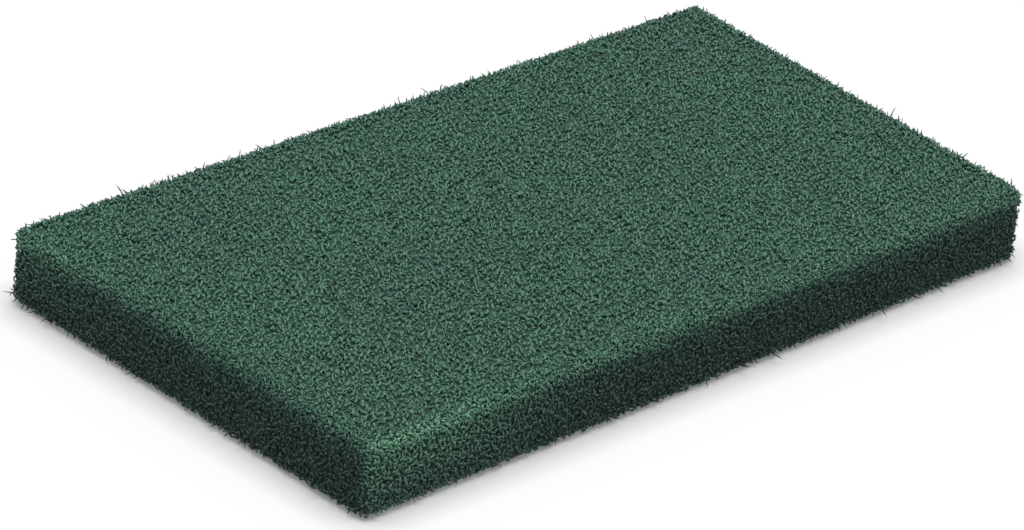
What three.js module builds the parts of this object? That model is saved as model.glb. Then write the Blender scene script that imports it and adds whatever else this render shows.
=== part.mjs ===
// A nylon scouring pad: one thick slab of non-woven web, made of crimped nylon fibres that a resin
// bonds where they cross, and cut from the sheet with a die. Millimetres, +Z up. The origin is the
// centre of the underside, +X runs along the pad and +Y across it.
//
// The web is open, so each face is a field of crowns, where fibres loop outwards, with pores
// between them. The slab is one closed skin whose points are those crowns and pores. Its crowns
// reach the overall size, and its pores lie below them.

import * as THREE from "three";
import { mergeVertices } from "three/addons/utils/BufferGeometryUtils.js";

// Overall size, measured over the crowns
const padLength = 250;
const padWidth = 140;
const padThickness = 23;

// How the die leaves the edges: softened round both faces, whose own corners are all but square
const edgeRadius = 2.4;
const faceCornerRadius = 0.4;
const rowsOnEdge = 2;

// The web: how far apart its crowns and pores lie, and how deep the pores are
const webPitch = 4.5;
const cutRowPitch = 3.6;
const pitchScatter = 0.28;
const crownShare = 0.42;
const shallowestPore = 0.35;
const facePoreDepth = 1.1;
const cutPoreDepth = 1.5;
const edgePoreDepth = 0.7;
const webSeed = 20;

// The middle of each face, where the pad bears on what it lies on
const bearingRadius = 5.5;

// Dark green, from the resin, and matt
const webGreen = new THREE.Color(0x3c5449);
const webRoughness = 0.9;

const halfSize = new THREE.Vector3(padLength, padWidth, padThickness).divideScalar(2);
const planRadius = faceCornerRadius + edgeRadius;

/** A repeatable run of numbers from 0 to 1, so that the web is the same each time it is built. */
function seededNumbers(seed) {
  let state = seed >>> 0;
  return () => {
    state = (state + 0x6d2b79f5) >>> 0;
    let mixed = Math.imul(state ^ (state >>> 15), state | 1);
    mixed ^= mixed + Math.imul(mixed ^ (mixed >>> 7), mixed | 61);
    return ((mixed ^ (mixed >>> 14)) >>> 0) / 2 ** 32;
  };
}

/**
 * Where the rows of points lie across one side of the slab, from -half to +half: close together
 * on the softened edges, and about one pitch apart between them.
 */
function rowsAcross(half, pitch) {
  const inner = half - edgeRadius;
  const cellsBetween = Math.max(1, Math.round((2 * inner) / pitch));
  const edgeRow = (step) => half - (edgeRadius * step) / rowsOnEdge;
  const innerRow = (step) => -inner + (2 * inner * step) / cellsBetween;
  const edgeSteps = Array.from({ length: rowsOnEdge }, (_, step) => step);
  const innerSteps = Array.from({ length: cellsBetween + 1 }, (_, step) => step);
  return [
    ...edgeSteps.map((step) => -edgeRow(step)),
    ...innerSteps.map(innerRow),
    ...edgeSteps.map(edgeRow).reverse(),
  ];
}

/** A block with its points on those rows, its centre at the origin and no point there twice. */
function blockOfCells() {
  const rows = {
    x: rowsAcross(halfSize.x, webPitch),
    y: rowsAcross(halfSize.y, webPitch),
    z: rowsAcross(halfSize.z, cutRowPitch),
  };
  const cells = { x: rows.x.length - 1, y: rows.y.length - 1, z: rows.z.length - 1 };
  const block = new THREE.BoxGeometry(1, 1, 1, cells.x, cells.y, cells.z);
  block.deleteAttribute("normal");
  block.deleteAttribute("uv");
  const points = block.attributes.position;
  const point = new THREE.Vector3();
  for (let i = 0; i < points.count; i += 1) {
    point.fromBufferAttribute(points, i).addScalar(0.5);
    for (const axis of ["x", "y", "z"]) {
      point[axis] = rows[axis][Math.round(point[axis] * cells[axis])];
    }
    points.setXYZ(i, point.x, point.y, point.z);
  }
  return mergeVertices(block);
}

/** Moves a point sideways within its own face. Points near an edge of the face keep their row. */
function scatter(point, random) {
  for (const axis of ["x", "y", "z"]) {
    const shift = (2 * random() - 1) * pitchScatter * webPitch;
    if (Math.abs(point[axis]) < halfSize[axis] - edgeRadius - webPitch / 2) {
      point[axis] += shift;
    }
  }
}

/** Two distances that reach the edge of a square, brought in to the circle inside that square. */
function squareToCircle(across, up) {
  const reach = Math.hypot(across, up);
  const shrink = reach > 0 ? Math.max(across, up) / reach : 1;
  return [across * shrink, up * shrink];
}

/**
 * Rounds the block where the point lies: its corners in plan, and the edges round its two faces.
 * Returns the direction that faces outwards there.
 */
function roundOff(point) {
  const coreX = THREE.MathUtils.clamp(point.x, planRadius - halfSize.x, halfSize.x - planRadius);
  const coreY = THREE.MathUtils.clamp(point.y, planRadius - halfSize.y, halfSize.y - planRadius);
  const out = new THREE.Vector3(point.x - coreX, point.y - coreY, 0);
  const fromCore = Math.max(Math.abs(out.x), Math.abs(out.y));
  if (fromCore > 0) {
    out.normalize();
  }
  const side = Math.sign(point.z);
  const across = Math.max(0, fromCore - faceCornerRadius);
  const up = Math.max(0, Math.abs(point.z) - halfSize.z + edgeRadius);
  const [roundAcross, roundUp] = squareToCircle(across, up);
  point.x = coreX + out.x * (fromCore - across + roundAcross);
  point.y = coreY + out.y * (fromCore - across + roundAcross);
  point.z += side * (roundUp - up);
  return out.multiplyScalar(roundAcross).setZ(side * roundUp).normalize();
}

/** How far below the crowns a point lies: not at all on a crown, and by a random depth in a pore. */
function depthBelowCrowns(point, out, random) {
  const isPore = random() > crownShare;
  const shareOfDepth = THREE.MathUtils.lerp(shallowestPore, 1, random());
  const onFace = Math.abs(out.z) > 0.999;
  const onCutSide = Math.abs(out.z) < 0.001;
  const bears = onFace && Math.hypot(point.x, point.y) < bearingRadius;
  if (!isPore || bears) {
    return 0;
  }
  if (onFace) {
    return shareOfDepth * facePoreDepth;
  }
  return shareOfDepth * (onCutSide ? cutPoreDepth : edgePoreDepth);
}

/**
 * Splits each cell of four points along its higher diagonal, as a fibre runs from crown to crown.
 * The block lists a cell's corners as the two triangles (a, b, d) and (b, c, d).
 */
function joinCrowns(skin, depths) {
  const corners = skin.index.array;
  const cornersPerCell = 6;
  for (let first = 0; first < corners.length; first += cornersPerCell) {
    const [a, b, d, , c] = corners.subarray(first, first + cornersPerCell);
    if (depths[a] + depths[c] < depths[b] + depths[d]) {
      corners.set([a, b, c, a, c, d], first);
    }
  }
}

/** The whole pad: the rounded slab with its crowns and pores, standing on its underside. */
function fibreWeb() {
  const random = seededNumbers(webSeed);
  const skin = blockOfCells();
  const points = skin.attributes.position;
  const point = new THREE.Vector3();
  const depths = new Float32Array(points.count);
  for (let i = 0; i < points.count; i += 1) {
    point.fromBufferAttribute(points, i);
    scatter(point, random);
    const out = roundOff(point);
    depths[i] = depthBelowCrowns(point, out, random);
    point.addScaledVector(out, -depths[i]);
    points.setXYZ(i, point.x, point.y, point.z);
  }
  joinCrowns(skin, depths);
  skin.translate(0, 0, halfSize.z);
  skin.computeVertexNormals();
  return skin;
}

const nylonWeb = new THREE.MeshStandardMaterial({
  color: webGreen,
  roughness: webRoughness,
  metalness: 0,
  flatShading: true,
});

const scouringPad = new THREE.Mesh(fibreWeb(), nylonWeb);
scouringPad.name = "nylon_web_pad";

const model = new THREE.Group();
model.add(scouringPad);

export default model;
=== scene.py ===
# %% [markdown]
# # A nylon scouring pad
#
# The pad is a thick slab of non-woven web: crimped nylon fibres laid in every direction, bonded
# where they cross by a dark green resin, and cut from the sheet with a die. Nothing in it is
# woven, so its look comes from thousands of short curls of fibre with dark pores between them.
#
# The lesson builds it from the inside out. First comes the dark web that closes the pores, then
# the curls of fibre over it, then the materials, and last the floor, the light and the camera.
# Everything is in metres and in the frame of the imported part.

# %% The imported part
import math

import bpy
import numpy as np
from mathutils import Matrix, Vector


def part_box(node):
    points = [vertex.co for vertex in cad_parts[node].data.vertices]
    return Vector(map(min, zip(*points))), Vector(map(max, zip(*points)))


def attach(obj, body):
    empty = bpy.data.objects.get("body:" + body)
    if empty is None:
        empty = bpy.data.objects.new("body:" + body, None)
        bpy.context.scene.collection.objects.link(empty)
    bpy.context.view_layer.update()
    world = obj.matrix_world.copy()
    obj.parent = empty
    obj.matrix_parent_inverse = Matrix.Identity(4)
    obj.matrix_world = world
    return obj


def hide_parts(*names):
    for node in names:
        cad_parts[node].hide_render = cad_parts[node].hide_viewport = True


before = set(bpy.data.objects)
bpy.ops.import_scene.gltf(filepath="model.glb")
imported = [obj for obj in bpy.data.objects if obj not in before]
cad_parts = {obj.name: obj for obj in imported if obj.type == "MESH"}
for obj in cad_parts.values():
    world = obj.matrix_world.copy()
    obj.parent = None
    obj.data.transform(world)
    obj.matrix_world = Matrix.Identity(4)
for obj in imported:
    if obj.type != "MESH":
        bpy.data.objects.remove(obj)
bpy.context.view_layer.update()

PAD_NODE = "nylon_web_pad"
low, high = (np.array(corner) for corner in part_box(PAD_NODE))
print("pad, in metres:", high - low)

# %% [markdown]
# ## The slab's own shape
#
# A die leaves square corners in plan and slightly softened edges round both faces. Every piece
# here follows that one shape, so it is written once, as a profile carried round the outline.
#
# The profile starts on the flat face, turns over the edge on an arc and runs down the cut side.
# A distance along it, the reach, is all that is needed to say where a point lies. That is how
# a tailor would lay a strip of felt over the edge: the felt keeps its length and only bends.
#
# A soft web is never cut quite square. This one's back edge is a little longer than its front
# one, and its left end a little wider than its right one, which the taper adds to every place.

# %% Sizes of the slab
MM = 0.001
EDGE_RADIUS = 3.2 * MM
PLAN_RADIUS = 3.3 * MM
TAPER = np.array([1.6, -1.4]) * MM
half = (high - low) / 2
mid_height = (low[2] + high[2]) / 2
edge_arc = EDGE_RADIUS * math.pi / 2
straight_height = half[2] - EDGE_RADIUS
corner_set_back = PLAN_RADIUS - EDGE_RADIUS
print("arc over an edge:", round(edge_arc / MM, 2), "mm")


# %% The profile and the two ways to lay fibre on it
def profile(reach, depth):
    """The slab's section. Reach is the distance along the skin from where the edge begins to
    turn, and is negative on the flat face. The way out turns by reach / edge radius, from straight
    up to straight outwards, and depth shortens the radius. Returns how far out and how far up a
    point lies from the centre of the edge's arc, and the way out there."""
    turn = np.clip(reach / EDGE_RADIUS, 0, math.pi / 2)
    radius = EDGE_RADIUS - depth
    out = np.minimum(reach, 0) + radius * np.sin(turn)
    up = radius * np.cos(turn) - np.maximum(reach - edge_arc, 0)
    return out, up, np.sin(turn), np.cos(turn)


def carried_round(core, way, reach, depth, side):
    """Carries the profile round the outline. Place = core + way x (corner set-back + out), and
    height = side x (straight height + up), where way is the level direction that leads out of
    the slab and side is 1 above its middle and -1 below it. The place then moves by the taper x
    its share of the half length x its share of the half width."""
    out, up, way_out, way_up = profile(reach, depth)
    level = core + way * (corner_set_back + out)[..., None]
    level = level + TAPER * np.prod(level / half[:2], axis=-1)[..., None]
    height = mid_height + side * (straight_height + up)
    outwards = np.concatenate([way * way_out[..., None], (side * way_up)[..., None]], axis=-1)
    return np.concatenate([level, height[..., None]], axis=-1), outwards


def over_face(along, across, depth, side):
    """Lays points of a flat sheet on one face. Past the edge they turn over it and run on down
    the cut side. The core of a point is the nearest point of the outline set in by the plan
    radius, and its reach is its distance from that core less the corner set-back."""
    flat = np.stack([along, across], axis=-1)
    inner = half[:2] - PLAN_RADIUS
    core = np.clip(flat, -inner, inner)
    way = flat - core
    distance = np.linalg.norm(way, axis=-1)
    way = way / np.maximum(distance, 1e-9)[..., None]
    side = np.full(distance.shape, float(side))
    return carried_round(core, way, distance - corner_set_back, depth, side)


def around_side(along, across, depth, side=None):
    """Lays points of a strip round the cut side. Along is the distance round the outline, and
    across is measured up from the middle of the side, so its sign says which half a point is in.
    The core walks round the inner rectangle and waits at each corner while the way out turns a
    quarter."""
    inner = half[:2] - PLAN_RADIUS
    corner = PLAN_RADIUS * math.pi / 2
    long_side, short_side = 2 * inner
    steps = [0, long_side, corner, short_side, corner, long_side, corner, short_side, corner]
    stops = np.cumsum(steps)
    along = np.mod(along, stops[-1])
    core_x = np.interp(along, stops, inner[0] * np.array([-1, 1, 1, 1, 1, -1, -1, -1, -1]))
    core_y = np.interp(along, stops, inner[1] * np.array([-1, -1, -1, 1, 1, 1, 1, -1, -1]))
    angle = np.interp(along, stops, np.radians([-90, -90, 0, 0, 90, 90, 180, 180, 270]))
    way = np.stack([np.cos(angle), np.sin(angle)], axis=-1)
    reach = edge_arc + straight_height - np.abs(across)
    return carried_round(np.stack([core_x, core_y], axis=-1), way, reach, depth, np.sign(across))


outline_length = 4 * (half[0] + half[1]) - (8 - 2 * math.pi) * PLAN_RADIUS
print("round the outline:", round(outline_length / MM), "mm")

# %% [markdown]
# ## Curls of fibre
#
# A web could be made as hair, as a displaced surface or as real strands. Hair doesn't leave the
# program as a mesh, and a displaced surface has no holes to look into. So the strands are real
# thin tubes with three sides, and thousands of them are worked out at once as arrays: the first
# axis counts the strands, and the second the points along each of them.
#
# A crimped fibre shows only where it comes up out of the web. It rises, bends over and dives back
# in, and its deeper stretches are lost in the dark. So each curl here is one such arch: an arc of
# a circle, in a tilted plane of its own, with its crown near the skin and its ends in the web.
#
# The arcs are spread with one in each cell of a grid. Wholly random spots would clump, and leave
# bare patches that a bonded web doesn't have.

# %% Spots for the fibres
CELL_SHARE = (0.1, 0.9)


def spread_evenly(random, extent, spacing):
    """Random spots, one in each cell of a square grid over the extent. Spot = (the cell's number +
    a random part of the cell) / the number of cells, as a share of the extent."""
    (along_low, along_high), (across_low, across_high) = extent
    columns = max(1, round((along_high - along_low) / spacing))
    rows = max(1, round((across_high - across_low) / spacing))
    cells = np.stack(np.meshgrid(np.arange(columns), np.arange(rows)), axis=-1).reshape(-1, 2)
    share = (cells + random.uniform(*CELL_SHARE, cells.shape)) / (columns, rows)
    along = along_low + share[:, :1] * (along_high - along_low)
    across = across_low + share[:, 1:] * (across_high - across_low)
    return along, across


square = ((0, 10 * MM), (0, 10 * MM))
spots = spread_evenly(np.random.default_rng(1), square, 1 * MM)
print("spots 1 mm apart on a square centimetre:", len(spots[0]))


# %% Paths of the fibres
def unit(vectors):
    """Each vector divided by its own length."""
    return vectors / np.maximum(np.linalg.norm(vectors, axis=-1, keepdims=True), 1e-12)


def bent_lengths(random, count, steps, radius, bend, lean):
    """Arcs of a circle, each in a plane of its own. The bend points outwards, give or take the
    lean. Place = radius x ((cosine of the angle - 1) x where the bend points + sine of the angle
    x a way square to that), with the angle from -bend / 2 to bend / 2. Returns the two level
    distances and the depth, which is 0 where an arc comes nearest to the surface."""
    bend_way = unit(random.normal(0, lean, (count, 1, 3)) - (0, 0, 1))
    cross_way = unit(np.cross(bend_way, random.normal(0, 1, (count, 1, 3))))
    angle = bend[..., None] * np.linspace(-0.5, 0.5, steps + 1)[None, :, None]
    path = radius[..., None] * ((np.cos(angle) - 1) * bend_way + np.sin(angle) * cross_way)
    path = path - path.mean(1, keepdims=True)
    depth = path[..., 2] - path[..., 2].min(1, keepdims=True)
    return path[..., 0], path[..., 1], depth


def drawn_out(along, across, grain):
    """Level distances made longer by the grain along the diagonal of the face, which is the way
    the web was laid, and shorter by the grain's square root square to it."""
    with_grain = (along + across) / 2 * grain
    over_grain = (along - across) / 2 / math.sqrt(grain)
    return with_grain + over_grain, with_grain - over_grain


def turning_path(heading, turn, steps, step):
    """Level paths about 0. Heading = a start + turn x (share of the way - 1/2), and a path is the
    running sum of its steps in that heading, less its own mean."""
    share = (np.arange(steps) + 0.5) / steps
    course = heading + turn * (share - 0.5)
    along = np.cumsum(np.cos(course), axis=1) * step
    across = np.cumsum(np.sin(course), axis=1) * step
    start = np.zeros((len(course), 1))
    along, across = np.hstack([start, along]), np.hstack([start, across])
    return along - along.mean(1, keepdims=True), across - across.mean(1, keepdims=True)


straight = turning_path(np.zeros((1, 1)), np.zeros((1, 1)), 3, 1 * MM)
print("a straight path of three steps:", np.round(straight[0][0] / MM, 2), "mm")

# %% Tubes round the paths
SIDES = 3


def tubes(centres, outwards, radius, roll):
    """Three-sided tubes with pointed ends. Corner of a ring = its place on the path + radius x
    (cosine of the angle x sideways + sine of the angle x upward), where sideways is square to the
    path and to the way out, and upward is square to both. A tube's points are its first tip, its
    rings in order and its last tip."""
    count, points = radius.shape
    ahead = unit(np.gradient(centres, axis=1))
    sideways = unit(np.cross(ahead, outwards))
    upward = np.cross(sideways, ahead)
    angle = (roll + np.arange(SIDES) * 2 * math.pi / SIDES)[:, None, :]
    arms = (
        sideways[:, 1:-1, None, :] * np.cos(angle)[..., None]
        + upward[:, 1:-1, None, :] * np.sin(angle)[..., None]
    )
    rings = centres[:, 1:-1, None, :] + arms * radius[:, 1:-1, None, None]
    rings = rings.reshape(count, (points - 2) * SIDES, 3)
    corners = np.concatenate([centres[:, :1], rings, centres[:, -1:]], axis=1)

    number = np.arange(corners.shape[0] * corners.shape[1]).reshape(count, -1)
    ring = number[:, 1:-1].reshape(count, points - 2, SIDES)
    beside = np.roll(ring, -1, axis=2)
    quads = np.stack([ring[:, :-1], beside[:, :-1], beside[:, 1:], ring[:, 1:]], axis=-1)
    first = np.stack([beside[:, 0], ring[:, 0], np.repeat(number[:, :1], SIDES, 1)], axis=-1)
    last = np.stack([ring[:, -1], beside[:, -1], np.repeat(number[:, -1:], SIDES, 1)], axis=-1)
    tips = np.concatenate([first, last]).reshape(-1, 3)
    return corners, quads.reshape(-1, 4), tips


def on_rings(values):
    """Values given for each point of the paths, repeated for the corners of the tubes."""
    middle = np.repeat(values[:, 1:-1], SIDES, axis=1)
    return np.concatenate([values[:, :1], middle, values[:, -1:]], axis=1)


print("a tube with four points has", 2 * SIDES + 2 * SIDES, "triangles")


# %% Arrays into a mesh
def mesh_from(name, points, quads, triangles, plate=None):
    """One mesh from arrays. Plate holds a place on the map for every point."""
    mesh = bpy.data.meshes.new(name)
    corners = np.concatenate([quads.ravel(), triangles.ravel()]).astype(np.int32)
    sizes = np.concatenate([np.full(len(quads), 4), np.full(len(triangles), 3)])
    starts = np.concatenate([[0], np.cumsum(sizes)[:-1]]).astype(np.int32)
    mesh.vertices.add(len(points))
    mesh.vertices.foreach_set("co", points.astype(np.float32).ravel())
    mesh.loops.add(len(corners))
    mesh.loops.foreach_set("vertex_index", corners)
    mesh.polygons.add(len(sizes))
    mesh.polygons.foreach_set("loop_start", starts)
    mesh.update(calc_edges=True)
    mesh.polygons.foreach_set("use_smooth", np.ones(len(sizes), bool))
    if plate is not None:
        layer = mesh.uv_layers.new(name="OFBake")
        layer.data.foreach_set("uv", plate[corners].astype(np.float32).ravel())
    mesh.validate()
    piece = bpy.data.objects.new(name, mesh)
    bpy.context.scene.collection.objects.link(piece)
    return piece


print("meshes so far:", len(bpy.data.meshes))

# %% [markdown]
# ## Tint and depth
#
# Two numbers give a fibre its colour: how green it is, and how light. Both go into a map, so the
# material can read them. A picture would do the same, but a map of two numbers is worked out from
# what made the web look so, and it stays sharp at any size.
#
# Resin gathers in patches, so greenness drifts slowly over the pad. A fibre deep in the web is
# made darker than one on a crown, as painted shade. The cut sides are darker than the faces and
# greyer towards the underside, partly as a greyer cut and partly as painted shade that deepens
# downwards. Painted light lies along the front's upper edge, in a spot at the front corner and in
# a smaller one high on the left side, which makes the fibres there green and light.

# %% Patches of resin, and painted light
DRIFT_WAVES, DRIFT_LENGTHS, DRIFT_CONTRAST = 12, (0.6, 1.6), 1.3
# Painted light: the front spot, the left spot and the band along the front's upper edge make the
# fibres there lighter and greener.
# Each spot's middle and size, in metres
FRONT_SPOT = np.array([[-112, -70, 20], [48, 48, 17]]) * MM
LEFT_SPOT = np.array([[-125, 64, 21], [20, 26, 11]]) * MM
LEFT_SHARE = 0.5
EDGE_SHARE, EDGE_FADE = 0.35, 6 * MM


def drift(places, wavelength, seed):
    """A slow random field from 0 to 1: a half + contrast x the mean of a dozen sine waves, whose
    directions, lengths and phases are drawn from the seed."""
    random = np.random.default_rng(seed)
    heading = random.uniform(0, 2 * math.pi, DRIFT_WAVES)
    lengths = wavelength * random.uniform(*DRIFT_LENGTHS, DRIFT_WAVES)
    phase = random.uniform(0, 2 * math.pi, DRIFT_WAVES)
    rise = random.uniform(-1, 1, DRIFT_WAVES)
    directions = np.stack([np.cos(heading), np.sin(heading), rise], axis=-1)
    level = np.sin(places @ (directions * 2 * math.pi / lengths[:, None]).T + phase).mean(-1)
    return np.clip(0.5 + DRIFT_CONTRAST * level, 0, 1)


def nearness(places, spot):
    """1 in the middle of a spot and less away from it: e to the minus square of the distance, as
    a share of the spot's size."""
    middle, size = spot
    return np.exp(-(((places - middle) / size) ** 2).sum(-1))


def painted_light_share(places, ways):
    """How much painted light a place gets, from 0 to 1: the larger of the front spot and the band
    along the upper edge, plus the left spot. The front spot is painted light on the front side by
    its corner, the band is painted light where the upper edge catches light from above, and the
    left spot is painted light high on the left side. Each stays on its own cut side, so it is
    multiplied by how squarely the way out leaves that side."""
    along_edge = EDGE_SHARE * np.exp(-(((high[2] - places[:, 2]) / EDGE_FADE) ** 2))
    front = np.maximum(nearness(places, FRONT_SPOT), along_edge) * np.clip(-ways[:, 1], 0, 1)
    left = LEFT_SHARE * nearness(places, LEFT_SPOT) * np.clip(-ways[:, 0], 0, 1)
    return front + left


front_corner = np.array([[low[0], low[1], mid_height]])
print("resin half way up the front corner:", painted_light_share(front_corner, np.array([[0, -1, 0]])))

# %% How green and how light
# Greenness: its middle, how far it drifts over patches of that size, its scatter from fibre to
# fibre, what the painted light adds, and what the lower cut sides lose, partly as painted shade,
# and how soon
GREEN, GREEN_DRIFT, PATCH_SIZE, PATCH_SEED, GREEN_SCATTER = 0.58, 0.1, 60 * MM, 5, 0.08
PAINTED_LIGHT_GREEN, CUT_GREEN, CUT_STEEPNESS = 0.3, 0.42, 1.5
# Lightness: its scatter, the painted shade that a fibre gets at the full depth, what the painted
# light adds, and what the cut sides lose all over, and besides that at the bottom, partly as
# painted shade
LIGHT_SCATTER, DEPTH_LIGHT, FULL_DEPTH = 0.03, 0.14, 1.6 * MM
PAINTED_LIGHT_LIFT, CUT_LIGHT, LOW_LIGHT = 0.53, 0.03, 0.1
# How far below the upper face the cut sides' tint goes on changing
FALL = 12 * MM
# Both numbers keep to the map, with a hair's breadth between a tube's corners
GREEN_LIMITS, LIGHT_LIMITS = (0.02, 0.98), (0.01, 0.99)
HAIR = 0.004


def tint_plate(random, centres, outwards, depth, base):
    """The two numbers as a place on the map for every corner of the tubes. Green = its middle +
    drift + scatter + what the painted light adds - what a cut side loses, more of it further down.
    Light = the base + scatter + what the painted light adds - the painted shade that the depth
    takes - what a cut side loses. A cut side loses partly for a greyer cut and partly as painted
    shade that deepens towards the bottom. A tube's corners lie a hair's breadth apart on the map,
    so that no face of it shrinks to a line."""
    count, points = depth.shape
    middles = centres.mean(1)
    cut = 1 - np.abs(outwards[..., 2]).mean(1)
    below = np.clip((high[2] - middles[:, 2]) / FALL, 0, 1)
    painted_light = painted_light_share(middles, outwards.mean(1))
    patches = GREEN_DRIFT * drift(middles, PATCH_SIZE, PATCH_SEED)
    green = GREEN + patches + random.normal(0, GREEN_SCATTER, count)
    # The cut sides lose green and light partly for a greyer cut and partly as painted shade that
    # deepens towards the bottom.
    grey = cut * CUT_GREEN * np.clip(CUT_STEEPNESS * below, 0, 1) * (1 - painted_light)
    green = green + PAINTED_LIGHT_GREEN * painted_light - grey
    light = random.normal(base, LIGHT_SCATTER, (count, 1))
    # Painted shade: a fibre is darker the deeper it lies in the web.
    light = light - DEPTH_LIGHT * np.clip(depth / FULL_DEPTH, 0, 1)
    light = light + (PAINTED_LIGHT_LIFT * painted_light - cut * (CUT_LIGHT + LOW_LIGHT * below))[:, None]
    light = light + HAIR * (np.arange(points) % 2)
    corner = (np.arange((points - 2) * SIDES + 2) % SIDES - 1) * HAIR
    green = np.clip(green, *GREEN_LIMITS)[:, None] + corner
    light = on_rings(np.clip(light, *LIGHT_LIMITS))
    return np.stack([green, light], axis=-1)


print("greenness before scatter:", GREEN, "to", round(GREEN + GREEN_DRIFT, 2))

# %% Strands on the slab
FIBRE_RADIUS = 0.39 * MM
RADIUS_SPREAD = (0.75, 1.15)


def strands(random, lay, along, across, depth, side, roundness, base):
    """Tubes laid on the slab, with their places on the map. Radius = the fibre's radius x its
    spread x roundness. Nothing dips below the surface that the pad lies on."""
    centres, outwards = lay(along, across, depth, side)
    radius = FIBRE_RADIUS * random.uniform(*RADIUS_SPREAD, (len(depth), 1)) * roundness
    centres[..., 2] = np.maximum(centres[..., 2], low[2] + radius)
    roll = random.uniform(0, 2 * math.pi, (len(depth), 1))
    corners, quads, tips = tubes(centres, outwards, radius, roll)
    corners[..., 2] = np.maximum(corners[..., 2], low[2])
    return corners, quads, tips, tint_plate(random, centres, outwards, depth, base)


print("fibres are about", 2 * FIBRE_RADIUS / MM, "mm thick")

# %% Arches of fibre
STEPS = 3
LEAN = 0.7
GRAIN = 1.6
BEND = (2.0, 3.1)
TIP_TAPER = 0.35
# Millimetres that the crowns lie below the skin, millimetres of an arch's radius, and lightness,
# lower for the deeper underlay as painted shade
LOOP_CROWNS, LOOP_RADII, LOOP_LIGHT = (-0.3, 0.2), (0.65, 1.05), 0.355
UNDERLAY_CROWNS, UNDERLAY_RADII, UNDERLAY_LIGHT = (0.3, 0.8), (0.7, 1.1), 0.31


def arches(seed, lay, extent, spacing, crowns, radii, thickness, base, side=1):
    """Arches of fibre over one stretch of the skin, each with its crown at a depth of its own.
    The grain draws them out on the faces only. They get thinner towards their ends: roundness =
    thickness x (1 - taper x distance from the middle, as a share of half the length)."""
    random = np.random.default_rng(seed)
    along, across = spread_evenly(random, extent, spacing)
    count = len(along)
    radius = random.uniform(*radii, (count, 1)) * MM
    bend = random.uniform(*BEND, (count, 1))
    path = bent_lengths(random, count, STEPS, radius, bend, LEAN)
    depth = random.uniform(*crowns, (count, 1)) * MM + path[2]
    path = drawn_out(path[0], path[1], GRAIN if lay is over_face else 1)
    roundness = thickness * (1 - TIP_TAPER * np.abs(np.linspace(-1, 1, STEPS + 1)))
    return strands(random, lay, along + path[0], across + path[1], depth, side, roundness, base)


def loops(seed, lay, extent, spacing, thickness, side=1):
    """The loops that reach the surface: thick, light, and as far apart as the spacing."""
    crowns, radii, base = LOOP_CROWNS, LOOP_RADII, LOOP_LIGHT
    return arches(seed, lay, extent, spacing, crowns, radii, thickness, base, side)


def underlay(seed, lay, extent, spacing, thickness):
    """The fibres that cross beneath the loops, a little darker as painted shade."""
    crowns, radii, base = UNDERLAY_CROWNS, UNDERLAY_RADII, UNDERLAY_LIGHT
    return arches(seed, lay, extent, spacing, crowns, radii, thickness, base)


print("an arch bends by", np.round(np.degrees(BEND)), "degrees")


# %% Batches into a piece
def piece_of(name, batches):
    """One piece from several batches of strands: their corners in turn, with the numbers in the
    faces moved up by the corners before them."""
    corners = [batch[0].reshape(-1, 3) for batch in batches]
    before = np.concatenate([[0], np.cumsum([len(some) for some in corners])[:-1]])
    quads = np.concatenate([batch[1] + first for batch, first in zip(batches, before)])
    tips = np.concatenate([batch[2] + first for batch, first in zip(batches, before)])
    plate = np.concatenate([batch[3].reshape(-1, 2) for batch in batches])
    piece = mesh_from(name, np.concatenate(corners), quads, tips, plate)
    number = sum(len(batch[0]) for batch in batches)
    print(name, number, "strands,", 2 * len(quads) + len(tips), "triangles")
    return piece


print("meshes so far:", len(bpy.data.meshes))

# %% [markdown]
# ## The web inside
#
# Below the curls the web goes on, too dark and too deep to tell one fibre from the next. It could
# be left out, but then light would show through the pores. So it is one closed lumpy body about
# one millimetre inside the skin, and nearer to it at the underside, where the curls are sparse. A
# grid wrapped round the slab by the same profile gives it, and two drifts of different sizes
# push it in and out.


# %% A block of cells wrapped on the slab
def block_lattice(cells):
    """The outer points of a block of cells, each once, and the quads that join them. Each of the
    six faces is a grid of whole-number places. A place's number in the block tells which points of
    two faces are the same."""
    size = np.array(cells) + 1
    places, quads, first = [], [], 0
    for axis in range(3):
        one, two = (axis + 1) % 3, (axis + 2) % 3
        for level in (0, cells[axis]):
            grid = np.zeros((size[one], size[two], 3), int)
            grid[..., one] = np.arange(size[one])[:, None]
            grid[..., two] = np.arange(size[two])[None, :]
            grid[..., axis] = level
            number = first + np.arange(size[one] * size[two]).reshape(size[one], size[two])
            quad = [number[:-1, :-1], number[1:, :-1], number[1:, 1:], number[:-1, 1:]]
            quads.append(np.stack(quad if level else quad[::-1], axis=-1).reshape(-1, 4))
            places.append(grid.reshape(-1, 3))
            first += number.size
    places = np.concatenate(places)
    codes = places @ np.array([1, size[0], size[0] * size[1]])
    _, kept, same_as = np.unique(codes, return_index=True, return_inverse=True)
    return places[kept], same_as.ravel()[np.concatenate(quads)]


def wrapped_on_slab(block, depth):
    """Block points, centred, on the slab's skin. A point's square distance from its core is the
    larger of its two level distances. Reach = that distance less the corner set-back, shrunk by a
    quarter of pi on the edge, so that each of the two faces that meet there takes half the arc."""
    inner = half[:2] - PLAN_RADIUS
    core = np.clip(block[:, :2], -inner, inner)
    way = block[:, :2] - core
    distance = np.abs(way).max(axis=1) - corner_set_back
    way = way / np.maximum(np.linalg.norm(way, axis=1), 1e-9)[:, None]
    height = np.abs(block[:, 2])
    up = np.clip(height - straight_height, 0, EDGE_RADIUS)
    arc = (np.maximum(distance, 0) + EDGE_RADIUS - up) * math.pi / 4
    reach = np.minimum(distance, 0) + arc + np.maximum(straight_height - height, 0)
    return carried_round(core, way, reach, depth, np.sign(block[:, 2]))


print("outer points of a block of one cell:", len(block_lattice((1, 1, 1))[0]))

# %% The dark web
WEB_DEPTH = 1.05 * MM
UNDERSIDE_DEPTH = 0.6 * MM
WEB_PITCH = 1.6 * MM
# Each drift's height in millimetres, size and seed
LUMPS = ((0.8, 8 * MM, 31), (0.6, 4.5 * MM, 32))


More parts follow.
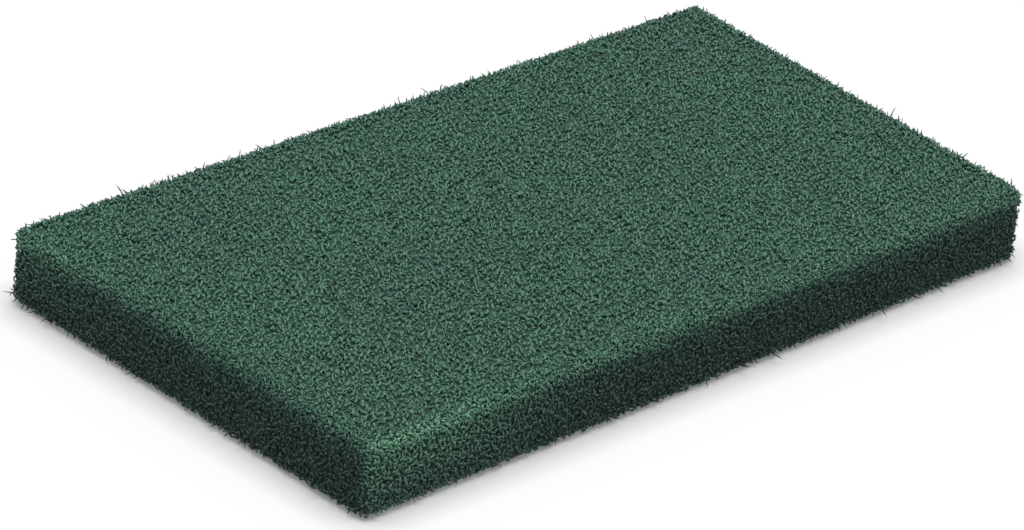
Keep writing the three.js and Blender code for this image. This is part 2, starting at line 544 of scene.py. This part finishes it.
def dark_web():
    """The closed body under the fibres: a wrapped block, pushed in and out by its drifts. Lumps =
    the sum of height x (drift - 1/2), and they are shallower where the web lies shallower."""
    cells = np.round(2 * half / WEB_PITCH).astype(int)
    places, quads = block_lattice(cells)
    block = (places / cells * 2 - 1) * half
    share_up = np.clip(places[:, 2] / cells[2], 0, 1)
    depth = UNDERSIDE_DEPTH + (WEB_DEPTH - UNDERSIDE_DEPTH) * np.minimum(1, 2 * share_up)
    skin, outwards = wrapped_on_slab(block, depth)
    lumps = sum(height * (drift(skin, size, seed) - 0.5) for height, size, seed in LUMPS)
    skin = skin + outwards * (lumps * depth / WEB_DEPTH)[:, None] * MM
    body = mesh_from("web_inside", skin, quads, np.zeros((0, 3), int))
    print("web inside:", 2 * len(quads), "triangles")
    return body


web_inside = dark_web()

# %% [markdown]
# ## The beds of fibre
#
# The real web is one sheet. Here it is several beds, so that no piece gets too heavy to handle:
# three thirds of the upper face, two halves of the cut sides and the underside. Each covers one
# stretch of the skin, and they meet half way over the softened edges.
#
# A bed has loops that reach the skin and an underlay that crosses beneath them. The die crops the
# fibres on the cut sides, so they are thinner there and closer together. The underside is pressed
# flat and hardly seen, and its loops are sparse.

# %% Stretches of the skin
face_ends = half[:2] - EDGE_RADIUS + edge_arc / 2
side_end = straight_height + edge_arc / 2
whole_width = (-face_ends[1], face_ends[1])
third = face_ends[0] / 3
left_third = ((-face_ends[0], -third), whole_width)
middle_third = ((-third, third), whole_width)
right_third = ((third, face_ends[0]), whole_width)
whole_face = ((-face_ends[0], face_ends[0]), whole_width)
all_round = ((0, outline_length), (-side_end, side_end))
front_half = ((0, outline_length / 2), (-side_end, side_end))
back_half = ((outline_length / 2, outline_length), (-side_end, side_end))
print("a face with half of its edges:", np.round(2 * face_ends / MM, 1), "mm")

# %% Beds over the faces and round the sides
FACE_SPACING, FACE_THICKNESS = 1.6 * MM, 1.05
SIDE_SPACING, SIDE_THICKNESS = 1.35 * MM, 0.86
UNDER_SPACING = 2.3 * MM
UNDERLAY_SHARE = 1.1
UNDERLAY_SEEDS = 50


def web_bed(name, seed, lay, extent, spacing, thickness):
    """One piece of web: loops with an underlay of slightly thicker fibres beneath them."""
    upper = loops(seed, lay, extent, spacing, thickness)
    lower = underlay(seed + UNDERLAY_SEEDS, lay, extent, spacing, UNDERLAY_SHARE * thickness)
    return piece_of(name, [upper, lower])


under_loops = loops(14, over_face, whole_face, UNDER_SPACING, FACE_THICKNESS, side=-1)
fibre_beds = [
    web_bed("curls_upper_left", 11, over_face, left_third, FACE_SPACING, FACE_THICKNESS),
    web_bed("curls_upper_middle", 12, over_face, middle_third, FACE_SPACING, FACE_THICKNESS),
    web_bed("curls_upper_right", 13, over_face, right_third, FACE_SPACING, FACE_THICKNESS),
    web_bed("curls_side_front", 15, around_side, front_half, SIDE_SPACING, SIDE_THICKNESS),
    web_bed("curls_side_back", 16, around_side, back_half, SIDE_SPACING, SIDE_THICKNESS),
    piece_of("curls_under", [under_loops]),
]

# %% [markdown]
# ## Free ends
#
# The die cuts fibres through, and their free ends stand out of the web. They give the pad its
# hairy outline. They are tubes like the curls, but start inside the web and lean over as they
# rise. How far one rises is drawn from a gamma spread, because most real ends are short and a few
# are long. They are sparse all over and dense along the edges, and longest along the lower one.

# %% Ends that stand out
END_STEP = (0.3, 0.6)
END_TURN = 1.0
ROOT_DEPTH = 0.9 * MM
END_THICKNESS = 0.7
END_LIGHT = 0.2
# How far apart the ends are, and each gamma spread's shape and scale in millimetres
FACE_ENDS, SIDE_ENDS, EDGE_ENDS = 4 * MM, 3.2 * MM, 1.3 * MM
SHORT_RISE, UPPER_RISE, LOWER_RISE = (3.0, 0.17), (1.7, 0.36), (2.0, 0.5)
UPPER_MARGIN, LOWER_MARGIN = 1 * MM, 1.5 * MM
upper_turn = (straight_height - UPPER_MARGIN, straight_height + edge_arc + UPPER_MARGIN)
lower_turn = (-straight_height - LOWER_MARGIN, -straight_height + LOWER_MARGIN)
upper_edge = ((0, outline_length), upper_turn)
lower_edge = ((0, outline_length), lower_turn)


def free_ends(seed, lay, extent, spacing, rises):
    """Ends of fibre that stand out of the web. Depth = the root's depth x (1 - share of the way)
    squared - rise x share of the way. Rises holds the shape and scale of their gamma spread."""
    random = np.random.default_rng(seed)
    along, across = spread_evenly(random, extent, spacing)
    count = len(along)
    step = random.uniform(*END_STEP, (count, 1)) * MM
    heading = random.uniform(0, 2 * math.pi, (count, 1))
    turn = random.normal(0, END_TURN, (count, 1))
    path = turning_path(heading, turn, STEPS, step)
    share = np.linspace(0, 1, STEPS + 1)
    rise = random.gamma(*rises, (count, 1)) * MM
    depth = ROOT_DEPTH * (1 - share) ** 2 - rise * share
    roundness = END_THICKNESS - TIP_TAPER * share
    along, across = along + path[0], across + path[1]
    return strands(random, lay, along, across, depth, 1, roundness, END_LIGHT)


end_batches = [
    free_ends(21, over_face, whole_face, FACE_ENDS, SHORT_RISE),
    free_ends(22, around_side, all_round, SIDE_ENDS, SHORT_RISE),
    free_ends(23, around_side, upper_edge, EDGE_ENDS, UPPER_RISE),
    free_ends(24, around_side, lower_edge, EDGE_ENDS, LOWER_RISE),
    underlay(61, around_side, upper_edge, EDGE_ENDS, 1.0),
]
fibre_beds.append(piece_of("free_ends", end_batches))

# %% [markdown]
# ## Writing a material as sums
#
# A node tree can be drawn by hand or written out. Written out it gets long, so one small class
# stands for a socket and turns Python's own signs into Math nodes, and one method makes any other
# node from its type, its settings and what goes into its sockets.


# %% Sockets that subtract and multiply
class Reading:
    """A value that runs over a surface: one output socket of a node tree."""

    def __init__(self, finish, socket):
        self.finish = finish
        self.socket = socket

    def with_sign(self, operation, first, second):
        """What a new Math node with that operation makes of the two."""
        node = self.finish.node("ShaderNodeMath", {"operation": operation}, {0: first, 1: second})
        return Reading(self.finish, node.outputs[0])

    def __sub__(self, other):
        return self.with_sign("SUBTRACT", self, other)

    def __rsub__(self, other):
        return self.with_sign("SUBTRACT", other, self)

    def __mul__(self, other):
        return self.with_sign("MULTIPLY", self, other)

    __rmul__ = __mul__


# %% One material and its nodes
class Finish:
    """One material and the nodes in it."""

    def __init__(self, name):
        self.material = bpy.data.materials.new(name)
        self.material.use_nodes = True
        self.tree = self.material.node_tree
        self.tree.nodes.clear()

    def node(self, kind, settings=None, inputs=None):
        """A node of that type. Settings are set first, and then values or links go in by socket."""
        node = self.tree.nodes.new(kind)
        for setting, value in (settings or {}).items():
            setattr(node, setting, value)
        for socket, value in (inputs or {}).items():
            if isinstance(value, Reading):
                self.tree.links.new(value.socket, node.inputs[socket])
            elif isinstance(value, bpy.types.NodeSocket):
                self.tree.links.new(value, node.inputs[socket])
            else:
                node.inputs[socket].default_value = value
        return node

    def reading(self, kind, settings=None, inputs=None):
        """The first output of a new node, ready to subtract and multiply."""
        return Reading(self, self.node(kind, settings, inputs).outputs[0])

    def mixed(self, share, first, second):
        """A colour that goes from first to second as share goes from 0 to 1. A Mix node's colours
        are its inputs 6 and 7 and its output 2."""
        settings = {"data_type": "RGBA", "clamp_factor": True}
        inputs = {"Factor": share, 6: first, 7: second}
        return self.node("ShaderNodeMix", settings, inputs).outputs[2]

    def noise(self, scale, detail):
        """Blender's noise on Object coordinates, in lumps of about 1 / scale metres."""
        place = self.node("ShaderNodeTexCoord").outputs["Object"]
        inputs = {"Vector": place, "Scale": scale, "Detail": detail}
        return self.reading("ShaderNodeTexNoise", None, inputs)

    def close(self, **sockets):
        """The surface shader with those sockets, joined to the output."""
        named = {name.replace("_", " "): value for name, value in sockets.items()}
        shader = self.node("ShaderNodeBsdfPrincipled", None, named)
        self.node("ShaderNodeOutputMaterial", None, {"Surface": shader.outputs[0]})
        return self.material


# %% Colours as seen on a screen
def from_screen(red, green, blue):
    """A colour given as 0 to 255 on a screen, as the linear value that a shader takes."""
    share = np.array([red, green, blue]) / 255
    linear = np.where(share <= 0.04045, share / 12.92, ((share + 0.055) / 1.055) ** 2.4)
    return (*linear.tolist(), 1.0)


print("middle grey on a screen, for a shader:", round(from_screen(128, 128, 128)[0], 3))

# %% [markdown]
# ## Resin-coated nylon
#
# The fibres are nylon dipped in a green resin that holds fine grit, so they are matt with small
# glints. Greenness and lightness come from the map that each fibre brought with it: greenness
# picks a place between a grey and a green, and lightness one between the dark pair of these and
# the light pair. A noise as fine as the grit roughens the skin.

# %% The fibres' finish
DARK_GREY, DARK_GREEN = from_screen(52, 62, 68), from_screen(35, 113, 82)
LIGHT_GREY, LIGHT_GREEN = from_screen(162, 188, 188), from_screen(158, 215, 181)
GRIT_SCALE, GRIT_STRENGTH, GRIT_HEIGHT = 2600, 0.15, 0.06 * MM


def coated_fibre():
    """Colour = dark mixed with light by the lightness, and each of these two = grey mixed with
    green by the greenness. Roughness = 0.8 - 0.2 x grit."""
    finish = Finish("nylon_fibre")
    map_place = finish.node("ShaderNodeUVMap", {"uv_map": "OFBake"}).outputs[0]
    split = finish.node("ShaderNodeSeparateXYZ", None, {0: map_place})
    greenness = Reading(finish, split.outputs[0])
    lightness = Reading(finish, split.outputs[1])
    dark = finish.mixed(greenness, DARK_GREY, DARK_GREEN)
    light = finish.mixed(greenness, LIGHT_GREY, LIGHT_GREEN)
    colour = finish.mixed(lightness, dark, light)
    grit = finish.noise(GRIT_SCALE, 1.0)
    relief = {"Strength": GRIT_STRENGTH, "Distance": GRIT_HEIGHT, "Height": grit}
    bump = finish.node("ShaderNodeBump", None, relief)
    return finish.close(
        Base_Color=colour,
        Roughness=0.8 - 0.2 * grit,
        Normal=bump.outputs[0],
    )


fibre_finish = coated_fibre()
for bed in fibre_beds:
    bed.data.materials.append(fibre_finish)
print(fibre_finish.name, "has", len(fibre_finish.node_tree.nodes), "nodes")

# %% [markdown]
# ## The web between the fibres
#
# What shows between the curls is more of the same web, coloured darker than the fibres partly for
# its dark resin and partly as painted shade of the deep pores. It has no strands of its own, so a
# twisted noise stands for them: its ridges are lighter, as the fibres just under the curls are.
# Drifting patches make the dark web more or less green. The lower cut sides are greyer, like the
# fibres over them, partly for a greyer cut and partly as painted shade.

# %% The inner web's finish
# The inner web's colours are darker than the fibres' partly for the dark resin and partly as
# painted shade of the deep pores; the low pair is greyer, partly as painted shade.
WEB_GREY, WEB_GREEN = from_screen(44, 68, 60), from_screen(34, 92, 70)
WEB_RIDGE = from_screen(80, 112, 98)
LOW_GREY, LOW_RIDGE = from_screen(40, 58, 58), from_screen(82, 106, 102)
TANGLE_SCALE, TANGLE_STRENGTH, TANGLE_HEIGHT = 900.0, 0.8, 0.5 * MM
PATCH_SCALE = 30
GREYS_FROM, GREYS_OVER = 5 * MM, 7 * MM


def inner_web():
    """Ridges = 1.6 x tangle - 0.45, and they mix the dark web with its lighter ridges. Colour =
    that mixed with the same in grey by (distance below the upper face - where it starts to grey)
    / how far that takes; the grey lower down is partly a greyer cut and partly painted shade.
    Roughness = 0.9 - 0.2 x tangle."""
    finish = Finish("nylon_web_inside")
    place = finish.node("ShaderNodeTexCoord").outputs["Object"]
    twisted = {"Vector": place, "Scale": TANGLE_SCALE, "Detail": 2.0, "Distortion": 1.5}
    tangle = finish.reading("ShaderNodeTexNoise", None, twisted)
    patches = finish.noise(PATCH_SCALE, 2.0)
    ridges = 1.6 * tangle - 0.45
    web = finish.mixed(ridges, finish.mixed(patches, WEB_GREY, WEB_GREEN), WEB_RIDGE)
    # The grey web lower down is partly a greyer cut and partly painted shade.
    grey_web = finish.mixed(ridges, LOW_GREY, LOW_RIDGE)
    height = Reading(finish, finish.node("ShaderNodeSeparateXYZ", None, {0: place}).outputs[2])
    under_edge = (float(high[2]) - GREYS_FROM - height) * (1 / GREYS_OVER)
    colour = finish.mixed(under_edge, web, grey_web)
    relief = {"Strength": TANGLE_STRENGTH, "Distance": TANGLE_HEIGHT, "Height": tangle}
    bump = finish.node("ShaderNodeBump", None, relief)
    return finish.close(Base_Color=colour, Roughness=0.9 - 0.2 * tangle, Normal=bump.outputs[0])


web_finish = inner_web()
web_inside.data.materials.append(web_finish)
print(web_finish.name, "has", len(web_finish.node_tree.nodes), "nodes")

# %% [markdown]
# ## What the pieces stand for
#
# Every piece moves with the part's one body. The inner web takes the place of the plain solid,
# which is hidden.

# %% Tying the pieces to the part
for piece in [web_inside, *fibre_beds]:
    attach(piece, "root")
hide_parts(PAD_NODE)

# %% [markdown]
# ## The floor
#
# A pale floor takes the pad's soft shadow. What the camera sees of it is lifted to white, which
# puts no more light on the pad, and the light that the pad gets back from it comes from a dimmer
# shade. Away from the pad the floor fades to plain white, so that low views have a white
# background too.

# %% Floor
FLOOR_SIZE = 8.0
FLOOR_SHADE, FLOOR_DIM = (0.9, 0.9, 0.9, 1), (0.42, 0.42, 0.42, 1)
FLOOR_LIFT = 0.155
FADE_FROM, FADE_TO = 0.25, 0.6
WHITE = (1, 1, 1, 1)


def pale_floor(size):
    """A square floor. The camera sees shade + lift, mixed with white by (distance from the pad -
    start of the fade) / length of the fade. All other rays meet the dim shade."""
    corners = np.array([[-1, -1, 0], [1, -1, 0], [1, 1, 0], [-1, 1, 0]]) * size / 2
    floor = mesh_from("floor", corners, np.array([[0, 1, 2, 3]]), np.zeros((0, 3), int))
    finish = Finish("pale_floor")
    seen = finish.node("ShaderNodeLightPath").outputs["Is Camera Ray"]
    matt = finish.node("ShaderNodeBsdfDiffuse", None, {"Color": FLOOR_SHADE})
    glow = finish.node("ShaderNodeEmission", None, {"Color": WHITE, "Strength": FLOOR_LIFT})
    lifted = finish.node("ShaderNodeAddShader", None, {0: matt.outputs[0], 1: glow.outputs[0]})
    white = finish.node("ShaderNodeEmission", None, {"Color": WHITE, "Strength": 1.0})
    place = finish.node("ShaderNodeTexCoord").outputs["Object"]
    away = finish.node("ShaderNodeVectorMath", {"operation": "LENGTH"}, {0: place})
    stretch = {"Value": away.outputs["Value"], "From Min": FADE_FROM, "From Max": FADE_TO}
    fade = finish.node("ShaderNodeMapRange", None, stretch)
    both = {0: fade.outputs[0], 1: lifted.outputs[0], 2: white.outputs[0]}
    faded = finish.node("ShaderNodeMixShader", None, both)
    dim = finish.node("ShaderNodeBsdfDiffuse", None, {"Color": FLOOR_DIM})
    by_ray = {0: seen, 1: dim.outputs[0], 2: faded.outputs[0]}
    mixed = finish.node("ShaderNodeMixShader", None, by_ray)
    finish.node("ShaderNodeOutputMaterial", None, {"Surface": mixed.outputs[0]})
    floor.data.materials.append(finish.material)
    return floor


pale_floor(FLOOR_SIZE)
print("floor:", FLOOR_SIZE, "m square")

# %% [markdown]
# ## The light
#
# The photo's pad has no hard shadow and no bright side, as under a large soft box. A pale sky
# lights it from all round, and one broad lamp straight above makes the top lighter than the
# sides. The camera sees the sky as plain white.

# %% Light
SKY_STRENGTH = 0.3
LAMP_PLACE, LAMP_SIZE, LAMP_POWER = (0, 0, 2.4), 2.2, 49.0


def sky(strength):
    """A plain pale sky. The camera sees it at strength 1, which is white."""
    world = bpy.data.worlds.new("pale_sky")
    bpy.context.scene.world = world
    world.use_nodes = True
    tree = world.node_tree
    tree.nodes.clear()
    paths = tree.nodes.new("ShaderNodeLightPath")
    plain = tree.nodes.new("ShaderNodeBackground")
    plain.inputs["Strength"].default_value = strength
    plain.inputs["Color"].default_value = WHITE
    white = tree.nodes.new("ShaderNodeBackground")
    white.inputs["Strength"].default_value = 1.0
    white.inputs["Color"].default_value = WHITE
    mix = tree.nodes.new("ShaderNodeMixShader")
    output = tree.nodes.new("ShaderNodeOutputWorld")
    tree.links.new(paths.outputs["Is Camera Ray"], mix.inputs[0])
    tree.links.new(plain.outputs[0], mix.inputs[1])
    tree.links.new(white.outputs[0], mix.inputs[2])
    tree.links.new(mix.outputs[0], output.inputs["Surface"])


def lamp(name, place, aim, size, power):
    """A square lamp at place, turned to face aim."""
    light = bpy.data.lights.new(name, "AREA")
    light.size = size
    light.energy = power
    holder = bpy.data.objects.new(name, light)
    holder.visible_camera = False
    bpy.context.scene.collection.objects.link(holder)
    ahead = np.array(aim) - np.array(place)
    holder.location = place
    flat = math.hypot(ahead[0], ahead[1])
    holder.rotation_euler = (math.atan2(flat, -ahead[2]), 0, math.atan2(-ahead[0], ahead[1]))


sky(SKY_STRENGTH)
lamp("key_lamp", LAMP_PLACE, (0, 0, 0), LAMP_SIZE, LAMP_POWER)
print("lamp:", LAMP_POWER, "W at", LAMP_PLACE[2], "m")

# %% [markdown]
# ## The camera
#
# The photo's camera was found by fitting the pad's outline. It stands high and far off, with a
# long lens, and is rolled by about five degrees. Three angles, a distance and a shift of the aim
# say where it is.

# %% Camera
AZIMUTH, ELEVATION, ROLL = (math.radians(angle) for angle in (-44.85, 28.55, 5.35))
DISTANCE = 1661 * MM
AIM_RIGHT, AIM_UP = -5.0 * MM, 4.36 * MM
LENS, SENSOR = 211.55, 36.0
CLIP_START, CLIP_END = 0.05, 50


def photo_camera():
    """Back points from the pad to the camera, at the azimuth and elevation. Right is level and up
    is square to both, and the roll turns these two round back. Place = back x distance + right
    and up x the shift of the aim."""
    back = np.array(
        [
            math.sin(AZIMUTH) * math.cos(ELEVATION),
            -math.cos(AZIMUTH) * math.cos(ELEVATION),
            math.sin(ELEVATION),
        ]
    )
    level = np.array([math.cos(AZIMUTH), math.sin(AZIMUTH), 0])
    upright = np.cross(back, level)
    right = level * math.cos(ROLL) + upright * math.sin(ROLL)
    up = upright * math.cos(ROLL) - level * math.sin(ROLL)
    place = back * DISTANCE + right * AIM_RIGHT + up * AIM_UP
    matrix = np.identity(4)
    matrix[:3, 0], matrix[:3, 1], matrix[:3, 2], matrix[:3, 3] = right, up, back, place
    data = bpy.data.cameras.new("photo_camera")
    data.lens = LENS
    data.sensor_width = SENSOR
    data.clip_start = CLIP_START
    data.clip_end = CLIP_END
    holder = bpy.data.objects.new("photo_camera", data)
    holder.matrix_world = matrix.T.tolist()
    bpy.context.scene.collection.objects.link(holder)
    return holder


bpy.context.scene.camera = photo_camera()
bpy.context.scene.view_settings.view_transform = "Standard"
print("camera:", np.round(bpy.context.scene.camera.matrix_world.translation, 3), "m")
